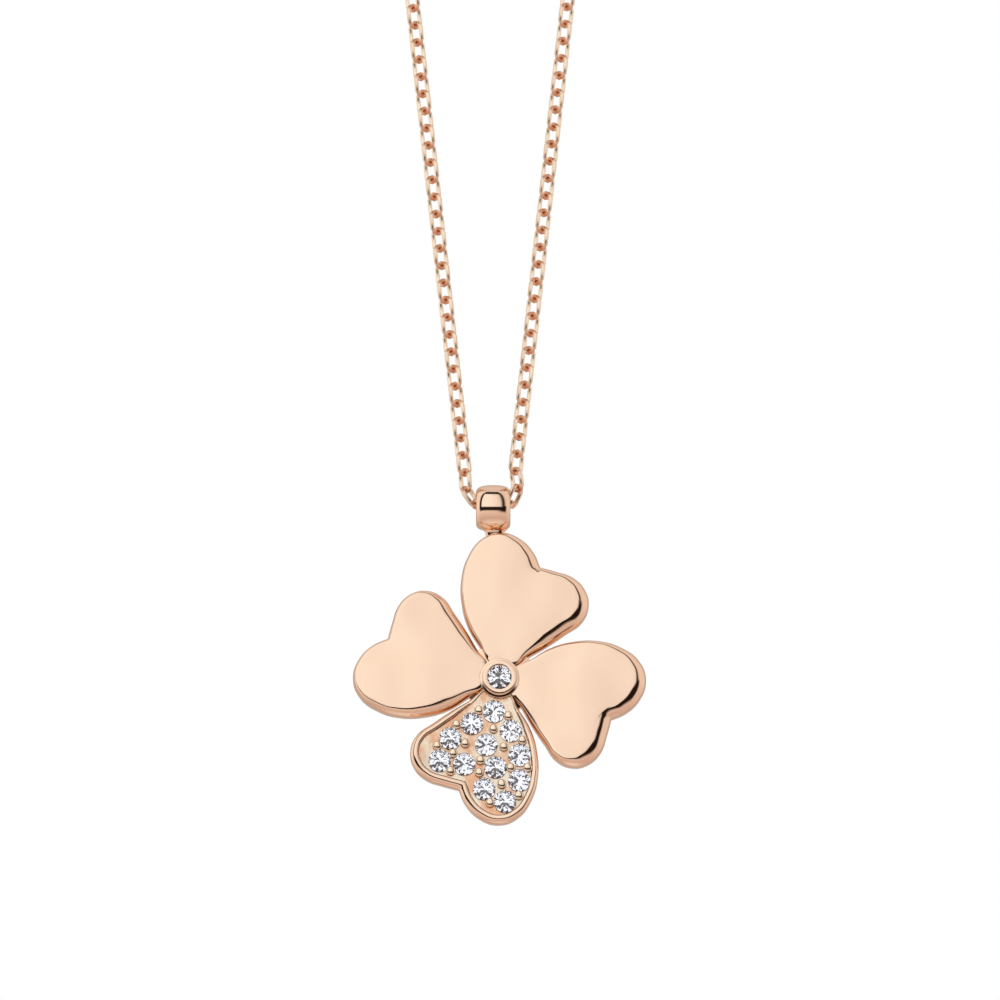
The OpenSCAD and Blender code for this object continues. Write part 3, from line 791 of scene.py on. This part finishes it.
def set_stone(name, node, diameter, turn, girdle):
    bm = brilliant(diameter)
    spot = middle_of(node)
    place = Matrix.Translation((spot.x, girdle, spot.z)) @ Matrix.Rotation(math.radians(turn), 4, "Y")
    bmesh.ops.transform(bm, matrix=place, verts=bm.verts)
    return make_piece(bm, name, "pendant", [node], [gemstone], crisp=0)


set_stone("middle_stone", "centre_stone", STONE_R * 2, 0, FRONT - girdle_up)
for i, node in enumerate(STONE_NODES):
    set_stone(f"set_stone_{i + 1:02d}", node, STONE_D, random.uniform(0, EIGHTH), FRONT + STONE_SINK)

# %% [markdown]
# ## The way of the chain
# The chain is a closed loop but for the clasp. From the bail both arms rise straight and lean apart, and a
# round top joins them. The first few places beside the bail are listed, because there the links
# turn one by one round the bail's mouth; after them the way is a straight line and an arc, as the CAD tube
# has it.

# %% Chain way
LOOP_RADIUS = 22.0
LOOP_TOP = 2.5
ARM_AIM = 1.5
drop = LOOP_TOP - PIVOT.z
arm_turn = math.asin(LOOP_RADIUS / math.hypot(ARM_AIM, drop - LOOP_RADIUS)) - math.atan2(
    ARM_AIM, drop - LOOP_RADIUS
)
CLASP_R, CLASP_WIRE = 2.5, 1.0
JUMP_R, JUMP_WIRE = 1.25, 0.5
EYE_R, EYE_WIRE = 0.8, 0.4
RING_ROOM = 0.12
SOLDER = 0.2
ARC_STEPS = 60
clasp_eye_at = CLASP_R + EYE_R + EYE_WIRE / 2 - SOLDER
left_jump_at = clasp_eye_at + EYE_R - EYE_WIRE / 2 - RING_ROOM - JUMP_WIRE / 2 + JUMP_R
left_eye_at = left_jump_at + JUMP_R - JUMP_WIRE / 2 - RING_ROOM - EYE_WIRE / 2 + EYE_R
right_jump_at = CLASP_R - CLASP_WIRE - RING_ROOM - JUMP_WIRE / 2 + JUMP_R
right_eye_at = right_jump_at + JUMP_R - JUMP_WIRE / 2 - RING_ROOM - EYE_WIRE / 2 + EYE_R
# Places (x, z) where the first links meet, a link's pitch apart
BESIDE_BAIL = {
    1: [(0.2, -207.52), (1.375, -207.53), (1.86, -206.46), (1.68, -205.3)],
    -1: [(0.2, -207.52), (-0.975, -207.53), (-1.64, -206.57), (-1.71, -205.39)],
}


def loop_place(distance):
    """Middle and turn of a place on the round top, by its distance from the clasp."""
    turn = distance / LOOP_RADIUS
    return Vector((LOOP_RADIUS * math.sin(turn), 0, LOOP_TOP - LOOP_RADIUS * (1 - math.cos(turn)))), turn


def chain_way(side, end_at):
    """Points from the middle of the bail up one arm and round to the end eye."""
    points = [Vector((x, 0, z)) for x, z in BESIDE_BAIL[side]]
    low, high = -arm_turn, math.pi / 2 - end_at / LOOP_RADIUS
    top = Vector((0, 0, LOOP_TOP - LOOP_RADIUS))
    arc = [low + (high - low) * i / ARC_STEPS for i in range(ARC_STEPS + 1)]
    return points + [
        top + LOOP_RADIUS * Vector((side * math.cos(turn), 0, math.sin(turn))) for turn in arc
    ]


# %% [markdown]
# ## One link, many times
# A cable link is a ring of wire that has been pulled long. So is this one: a spun ring, its two halves
# moved apart. Eighty faces are enough, because the chain has hundreds of links. Every link is turned a
# quarter round against the last and hooks through it, as on the real chain. An attribute on its vertices
# rises from 0 at the sides to 1 at the ends where it hooks, and there mixes in the painted joint shade.

# %% One cable link
LINK_LENGTH = 1.815
LINK_WIDTH = 1.34
LINK_WIRE = 0.32
LINK_PITCH = LINK_LENGTH - 2 * LINK_WIRE
LINK_TWIST = 45
# Painted joint shade: it starts this far from a link's middle and grows to full over the rest of the way
JOINT_SHADE_FROM = 0.4
JOINT_SHADE_OVER = LINK_LENGTH / 2 - LINK_WIRE - JOINT_SHADE_FROM
LINK_STEPS = 10
LINK_SIDES = 8
# Turn of the first links out of that twist, where the bail holds them
FIRST_TURNS = (12, -12, 10)


def one_link(pitch):
    bm = bmesh.new()
    ring = (LINK_WIDTH - LINK_WIRE) / 2
    section = bmesh.ops.create_circle(bm, segments=LINK_SIDES, radius=LINK_WIRE / 2)["verts"]
    edges = list({edge for vert in section for edge in vert.link_edges})
    start = Matrix.Rotation(math.pi / LINK_STEPS, 4, "Z") @ Matrix.Translation((ring, 0, 0))
    stand = start @ Matrix.Rotation(math.radians(90), 4, "X") @ Matrix.Rotation(math.pi / LINK_SIDES, 4, "Z")
    bmesh.ops.transform(bm, matrix=stand, verts=section)
    bmesh.ops.spin(
        bm, geom=section + edges, cent=(0, 0, 0), axis=(0, 0, 1), angle=math.tau, steps=LINK_STEPS,
        use_merge=True,
    )
    bmesh.ops.remove_doubles(bm, verts=bm.verts, dist=1e-5)
    pull = pitch / 2 + LINK_WIRE / 2 - ring
    for side in (1, -1):
        half = [v for v in bm.verts if v.co.y * side > 0]
        bmesh.ops.translate(bm, verts=half, vec=(0, side * pull, 0))
    # Share of the painted joint shade: 0 at the sides, 1 at the ends where the link hooks
    joint_shade = bm.verts.layers.float.new("joint_shade")
    for vert in bm.verts:
        vert[joint_shade] = min(1, max(0, (abs(vert.co.y) - JOINT_SHADE_FROM) / JOINT_SHADE_OVER))
    bmesh.ops.recalc_face_normals(bm, faces=bm.faces)
    mesh = bpy.data.meshes.new("one link")
    bm.to_mesh(mesh)
    bm.free()
    return mesh


print("one link:", LINK_STEPS * LINK_SIDES, "faces, pitch", round(LINK_PITCH, 3), "mm")

# %% [markdown]
# ## Hanging the links
# The way is divided evenly, so that the last link meets the end eye exactly, and each link is laid from
# one place to the next. A chain settles with its links turned a quarter round against each other; here
# they stand at 45 degrees to either side, as they show in the photograph, and the first ones turn a little
# out of that where the bail's mouth holds them.

# %% Hang the links


def along_way(points, distance):
    """The point at that distance along a row of points."""
    for a, b in zip(points, points[1:]):
        if distance <= (b - a).length:
            return a.lerp(b, distance / (b - a).length)
        distance -= (b - a).length
    return points[-1].copy()


def link_joints(side, end_at):
    """Evenly spaced places where two links meet, from the bail to the end eye."""
    points = chain_way(side, end_at + EYE_R - EYE_WIRE / 2)
    length = sum((b - a).length for a, b in zip(points, points[1:]))
    count = round(length / LINK_PITCH)
    return [along_way(points, length * i / count) for i in range(count + 1)], length / count


def hang_links(bm, joints, pitch):
    """Lays a copy of the link between each two places and says how many."""
    link = one_link(pitch)
    for i, (a, b) in enumerate(zip(joints, joints[1:])):
        along = (b - a).normalized()
        across = along.cross(Vector((0, 1, 0)))
        twist = math.radians(LINK_TWIST - 90 * (i % 2) + (FIRST_TURNS[i] if i < len(FIRST_TURNS) else 0))
        wide = across * math.cos(twist) + Vector((0, 1, 0)) * math.sin(twist)
        turn = Matrix((wide, along, wide.cross(along))).transposed().to_4x4()
        copied = link.copy()
        copied.transform(Matrix.Translation((a + b) / 2) @ turn)
        bm.from_mesh(copied)
        bpy.data.meshes.remove(copied)
    return len(joints) - 1


def wire_ring(bm, radius, wire, place, steps=48, sides=16):
    """A ring of round wire, turned and moved by the place."""
    section = bmesh.ops.create_circle(bm, segments=sides, radius=wire / 2)["verts"]
    edges = list({edge for vert in section for edge in vert.link_edges})
    stand = Matrix.Translation((radius, 0, 0)) @ Matrix.Rotation(math.radians(90), 4, "X")
    bmesh.ops.transform(bm, matrix=stand, verts=section)
    before = set(bm.verts) - set(section)
    bmesh.ops.spin(
        bm, geom=section + edges, cent=(0, 0, 0), axis=(0, 0, 1), angle=math.tau, steps=steps, use_merge=True
    )
    bmesh.ops.transform(bm, matrix=place, verts=[v for v in bm.verts if v not in before])


def on_loop(distance, facing_front):
    """Place of a ring on the loop, facing the front or standing across it."""
    middle, turn = loop_place(distance)
    place = Matrix.Translation(middle) @ Matrix.Rotation(turn, 4, "Y")
    return place @ Matrix.Rotation(math.radians(90), 4, "X") if facing_front else place


bm = bmesh.new()
links_made = 0
for side, eye_at in ((1, right_eye_at), (-1, left_eye_at)):
    joints, pitch = link_joints(side, eye_at)
    links_made += hang_links(bm, joints, pitch)
    known = set(bm.faces)
    wire_ring(bm, EYE_R, EYE_WIRE, on_loop(side * eye_at, True))
    for face in bm.faces:
        face.material_index = 1 if face not in known else face.material_index
    print(f"arm {side}: {len(joints) - 1} links, pitch {pitch:.4f} mm")
make_piece(bm, "chain_links", "necklace", ["chain"], [wire_gold_painted_light, polished_gold], crisp=40)
print("links in the loop:", links_made)

# %% [markdown]
# ## Clasp and jump rings
# The clasp is a spring ring, kept as one plain piece as in the CAD: a tube ring with an eye soldered on
# and the little knob that draws the bolt back. Two collars mark where the bolt enters the tube. Jump
# rings join it to the chain's end eyes.

# %% Clasp and jump rings
COLLAR_TURNS = (20, 60)
COLLAR_WIRE = 0.08
KNOB_TURN = 35
bm = bmesh.new()
ring_middle = CLASP_R - CLASP_WIRE / 2
wire_ring(bm, ring_middle, CLASP_WIRE, on_loop(0, True), steps=96, sides=24)
wire_ring(bm, EYE_R, EYE_WIRE, on_loop(-clasp_eye_at, True))
for collar_turn in COLLAR_TURNS:
    turned = on_loop(0, False) @ Matrix.Rotation(math.radians(collar_turn), 4, "Y")
    stand = turned @ Matrix.Translation((0, 0, ring_middle)) @ Matrix.Rotation(math.radians(90), 4, "Y")
    wire_ring(bm, CLASP_WIRE / 2, COLLAR_WIRE, stand, sides=8)
# Radius of the knob by its height from the middle of the tube
knob_rows = [(0, 0.95), (0.16, 0.935), (0.24, 0.86), (0.25, 0.76), (0.2, 0.59), (0.2, 0.1), (0, 0.1)]
knob = bmesh.new()
spun(knob, knob_rows, (0, 0, 1), Vector((0, 0, 0)), 24)
knob_turn = on_loop(0, False) @ Matrix.Rotation(math.radians(KNOB_TURN), 4, "Y")
add_to(bm, knob, knob_turn @ Matrix.Translation((0, 0, ring_middle)))
make_piece(bm, "spring_ring_clasp", "necklace", ["clasp"], [polished_gold])
for jump_name, jump_at in (("jump_ring_left", -left_jump_at), ("jump_ring_right", right_jump_at)):
    bm = bmesh.new()
    wire_ring(bm, JUMP_R, JUMP_WIRE, on_loop(jump_at, False))
    make_piece(bm, jump_name + "_wire", "necklace", [jump_name], [polished_gold])

# %% [markdown]
# ## Studio
# The photograph is a catalogue picture: white all round, one wide softbox in front and above, a dark gap
# round it and warm walls past that, with a pale card on the table below. Polished metal shows nothing but
# its surroundings, so they are painted into the world by direction: by degrees of height, where 0 is level
# and 90 straight up, and by degrees to the side, where 0 is the camera's side and 180 is behind. The camera
# itself sees plain white. Light that has passed through a stone meets many small lamps instead, the way a
# jeweller's cabinet makes stones sparkle.

# %% World
world = bpy.data.worlds.new("studio")
bpy.context.scene.world = world
world.use_nodes = True
w_nodes, w_links = world.node_tree.nodes, world.node_tree.links
w_nodes.clear()
direction = w_nodes.new("ShaderNodeTexCoord")
split = w_nodes.new("ShaderNodeSeparateXYZ")
w_links.new(direction.outputs["Generated"], split.inputs["Vector"])


def world_math(operation, first, second=None):
    node = w_nodes.new("ShaderNodeMath")
    node.operation = operation
    for socket, value in zip(node.inputs, (first, second)):
        if isinstance(value, (int, float)):
            socket.default_value = value
        elif value is not None:
            w_links.new(value, socket)
    return node.outputs[0]


def world_ramp(value, stops):
    """A colour ramp over degrees from -180 to 180."""
    node = w_nodes.new("ShaderNodeValToRGB")
    ramp = node.color_ramp
    while len(ramp.elements) < len(stops):
        ramp.elements.new(0.5)
    for element, (degrees, colour) in zip(ramp.elements, stops):
        element.position = (degrees + 180) / 360
        element.color = (*colour, 1)
    share = world_math("MULTIPLY_ADD", value, math.degrees(1) / 360)
    share.node.inputs[2].default_value = 0.5
    w_links.new(share, node.inputs["Fac"])
    return node.outputs["Color"]


height_angle = world_math("ARCSINE", split.outputs["Z"])
side_angle = world_math("ARCTAN2", split.outputs["X"], world_math("MULTIPLY", split.outputs["Y"], -1))
WHITE, BLACK = (1, 1, 1), (0, 0, 0)
ROOM_DARK = (0.016, 0.009, 0.007)
TABLE, PINK_WALL, CREAM_WALL = (0.65, 0.49, 0.44), (0.88, 0.76, 0.7), (0.95, 0.88, 0.82)
CEILING, BACK_WALL, CARD = (0.78, 0.7, 0.66), (0.56, 0.46, 0.41), (0.95, 0.84, 0.78)


def window(value, low, high, soft_low, soft_high):
    """White between two angles and black outside; each edge is as soft as it says, to either side."""
    return world_ramp(value, [(low - soft_low, BLACK), (low + soft_low, WHITE),
                              (high - soft_high, WHITE), (high + soft_high, BLACK)])


def patch(heights, sides):
    """White inside a window of heights and sides, black around it."""
    return world_math("MULTIPLY", window(height_angle, *heights), window(side_angle, *sides))


softbox = patch((0, 67, 1.5, 2), (-35, 19, 1.5, 6))
frame_dark = patch((-19, 82, 3, 3), (-52, 38, 4, 8))
low_corner = patch((-26, 4, 6, 2), (12, 48, 9, 6))
# The softbox is brightest on its left
glow = world_ramp(
    side_angle,
    [(-8, (1.07, 1.07, 1.06)), (-2, (1.03, 1.03, 1.02)), (2, (0.98, 0.96, 0.95)), (8, (0.9, 0.87, 0.85)),
     (18, (0.86, 0.8, 0.78))],
)
left_wall = world_ramp(
    height_angle,
    [(-90, CARD), (-58, TABLE), (-20, PINK_WALL), (0, CREAM_WALL), (60, CREAM_WALL), (90, CEILING)],
)
right_wall = world_ramp(
    height_angle, [(-90, CARD), (-58, TABLE), (0, PINK_WALL), (60, PINK_WALL), (90, CEILING)]
)
back_wall = world_ramp(
    height_angle, [(-90, CARD), (-45, BACK_WALL), (20, BACK_WALL), (65, CEILING), (90, CEILING)]
)
is_right = world_ramp(side_angle, [(-180, BLACK), (-20, BLACK), (40, WHITE), (180, WHITE)])
is_behind = world_ramp(side_angle, [(-128, WHITE), (-108, BLACK), (108, BLACK), (128, WHITE)])


def world_mix(share, first, second):
    node = w_nodes.new("ShaderNodeMix")
    node.data_type = "RGBA"
    w_links.new(share, node.inputs["Factor"])
    w_links.new(first, node.inputs[6])
    if isinstance(second, tuple):
        node.inputs[7].default_value = (*second, 1)
    else:
        w_links.new(second, node.inputs[7])
    return node.outputs[2]


seen = world_mix(is_right, left_wall, right_wall)
seen = world_mix(is_behind, seen, back_wall)
seen = world_mix(frame_dark, seen, ROOM_DARK)
seen = world_mix(low_corner, seen, ROOM_DARK)
seen = world_mix(softbox, seen, glow)

# %% Sparkle for the stones, white for the camera
LAMPS_OFF, LAMPS_ON = (0.015, 0.018, 0.03, 1), (1.25, 1.28, 1.35, 1)
rays = w_nodes.new("ShaderNodeLightPath")
sparkle = w_nodes.new("ShaderNodeTexVoronoi")
sparkle.inputs["Scale"].default_value = 13
w_links.new(direction.outputs["Generated"], sparkle.inputs["Vector"])
lights = w_nodes.new("ShaderNodeValToRGB")
lights.color_ramp.interpolation = "CONSTANT"
lights.color_ramp.elements[0].color = LAMPS_OFF
lights.color_ramp.elements[1].color = LAMPS_ON
lights.color_ramp.elements[1].position = 0.43
w_links.new(sparkle.outputs["Color"], lights.inputs["Fac"])
seen = world_mix(rays.outputs["Is Transmission Ray"], seen, lights.outputs["Color"])
backdrop = world_mix(rays.outputs["Is Camera Ray"], seen, WHITE)
background = w_nodes.new("ShaderNodeBackground")
output = w_nodes.new("ShaderNodeOutputWorld")
w_links.new(backdrop, background.inputs["Color"])
w_links.new(background.outputs[0], output.inputs["Surface"])
print("world nodes:", len(w_nodes))

# %% [markdown]
# ## Floor and camera
# The floor lies far below the hanging pendant and casts nothing back into it: mirrors and stones don't see
# it. The camera stands where the photographer's did, a little below the pendant's middle and looking up, with
# a long lens; its place follows from where the middle stone shows in the picture.

# %% Floor
FLOOR_Z = -0.45
FLOOR_HALF = 3
bm = bmesh.new()
bmesh.ops.create_grid(bm, x_segments=1, y_segments=1, size=FLOOR_HALF)
bmesh.ops.translate(bm, verts=bm.verts, vec=(0, 0, FLOOR_Z))
floor_mesh = bpy.data.meshes.new("floor")
bm.to_mesh(floor_mesh)
bm.free()
floor = bpy.data.objects.new("floor", floor_mesh)
bpy.context.scene.collection.objects.link(floor)
floor_paint, f_nodes, f_links, f_surface = new_finish("pale floor")
f_surface.inputs["Base Color"].default_value = (0.9, 0.89, 0.88, 1)
f_surface.inputs["Roughness"].default_value = 0.7
floor_mesh.materials.append(floor_paint)
floor.visible_glossy = False
floor.visible_transmission = False
print("floor at", FLOOR_Z)

# %% Camera
PIXELS_PER_MM = 15.0
PHOTO_SIZE = 1000
BEZEL_PIXEL = (499.5, 678.0)
CAMERA_DISTANCE = 1.0
CAMERA_LOW = math.radians(8)
SENSOR_WIDTH = 36
camera = bpy.data.cameras.new("camera")
camera.sensor_width = SENSOR_WIDTH
frame_width = PHOTO_SIZE / PIXELS_PER_MM * MM
camera.lens = SENSOR_WIDTH * CAMERA_DISTANCE / frame_width
camera.clip_start, camera.clip_end = 0.05, 20
camera_holder = bpy.data.objects.new("camera", camera)
bpy.context.scene.collection.objects.link(camera_holder)
look = Vector((0, math.cos(CAMERA_LOW), math.sin(CAMERA_LOW)))
up = Vector((0, -math.sin(CAMERA_LOW), math.cos(CAMERA_LOW)))
aim = bezel_middle * MM
aim += Vector((1, 0, 0)) * (PHOTO_SIZE / 2 - BEZEL_PIXEL[0]) / PIXELS_PER_MM * MM
aim += up * (BEZEL_PIXEL[1] - PHOTO_SIZE / 2) / PIXELS_PER_MM * MM
camera_holder.location = aim - look * CAMERA_DISTANCE
camera_holder.rotation_euler = look.to_track_quat("-Z", "Y").to_euler()
bpy.context.scene.camera = camera_holder
bpy.context.scene.view_settings.view_transform = "Standard"
print("camera at", [round(v, 3) for v in camera_holder.location])
